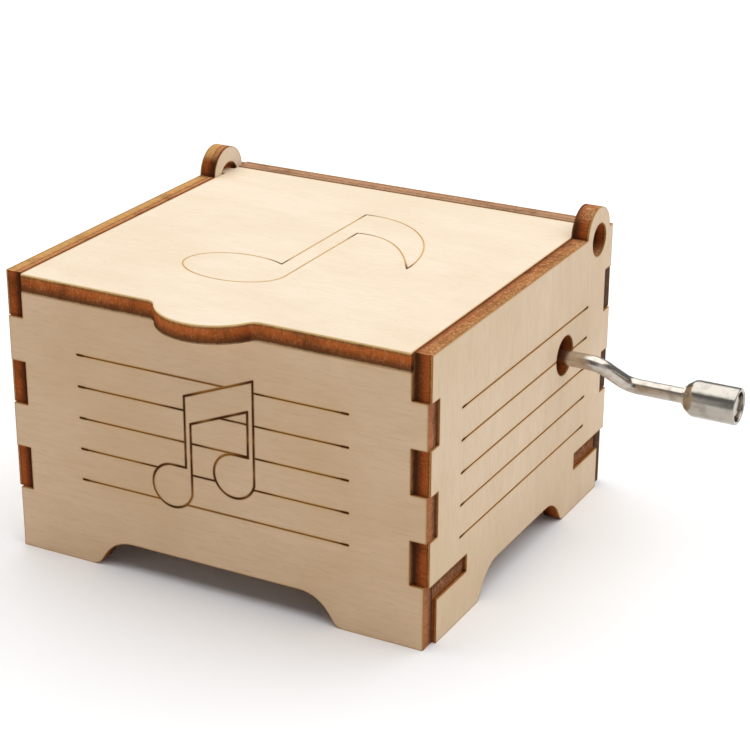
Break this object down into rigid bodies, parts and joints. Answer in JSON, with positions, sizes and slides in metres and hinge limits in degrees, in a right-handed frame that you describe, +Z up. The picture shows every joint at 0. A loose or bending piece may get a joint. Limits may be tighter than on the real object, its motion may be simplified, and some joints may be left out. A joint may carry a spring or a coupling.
{
  "type": "hand crank music box",
  "caption": "Finger-jointed plywood music box with a swing-up lid and a bent wire crank that turns a pinned cylinder past a steel comb through a worm drive.",
  "frame": {"origin": "on the surface the feet stand on, at the middle of the whole object's footprint, lid lip and crank knob included", "axes": "+X towards the crank, +Y towards the back of the box, +Z up"},
  "size_m": [0.1004, 0.0718, 0.0509],
  "materials": {
    "birch_ply": "laser-cut birch plywood, satin, unfinished",
    "cast_zinc": "die-cast, matt",
    "comb_steel": "ground spring steel",
    "lead": "dull lead",
    "zinc_plated_steel": "zinc-plated",
    "nickel_wire": "polished nickel plate",
    "nickel_knob": "turned and nickel plated",
    "brass": "turned brass",
    "barrel_brass": "brushed brass",
    "pin_steel": "ground",
    "worm_steel": "machined"
  },
  "bodies": {
    "box": {"front_panel": "birch_ply", "back_panel": "birch_ply", "left_panel": "birch_ply", "right_panel": "birch_ply", "bottom_panel": "birch_ply", "bedplate": "cast_zinc", "comb": "comb_steel", "bass_weights": "lead", "comb_screws": "zinc_plated_steel", "mounting_screws": "zinc_plated_steel", "bracket_screws": "zinc_plated_steel", "drive_bracket": "zinc_plated_steel", "shaft_bushes": "brass", "arbor_bushes": "brass"},
    "lid": {"lid": "birch_ply"},
    "cylinder": {"cylinder_barrel": "barrel_brass", "cylinder_front_cap": "brass", "cylinder_rear_cap": "brass", "cylinder_pins": "pin_steel", "cylinder_arbor": "worm_steel", "worm_wheel": "brass"},
    "crank": {"crank_arm": "nickel_wire", "worm": "worm_steel", "worm_pin": "worm_steel", "knob_washer": "nickel_wire"},
    "knob": {"crank_knob": "nickel_knob"}
  },
  "joints": [
    {"name": "lid_hinge", "type": "hinge", "parent": "box", "child": "lid", "pos_m": [-0.0138, 0.02972, 0.045], "axis": [-1, 0, 0], "range_deg": [0, 125]},
    {"name": "cylinder_spin", "type": "hinge", "parent": "box", "child": "cylinder", "pos_m": [-0.0022, 0.00372, 0.0212], "axis": [0, 1, 0], "continuous": true},
    {"name": "crank_spin", "type": "hinge", "parent": "box", "child": "crank", "pos_m": [-0.0022, 0.01722, 0.0294], "axis": [1, 0, 0], "continuous": true},
    {"name": "knob_spin", "type": "hinge", "parent": "crank", "child": "knob", "pos_m": [0.0459, 0.02236, 0.0246], "axis": [1, 0, 0], "continuous": true}
  ],
  "couplings": [
    {"joint": "cylinder_spin", "follows": "crank_spin", "ratio": -0.041667}
  ]
}
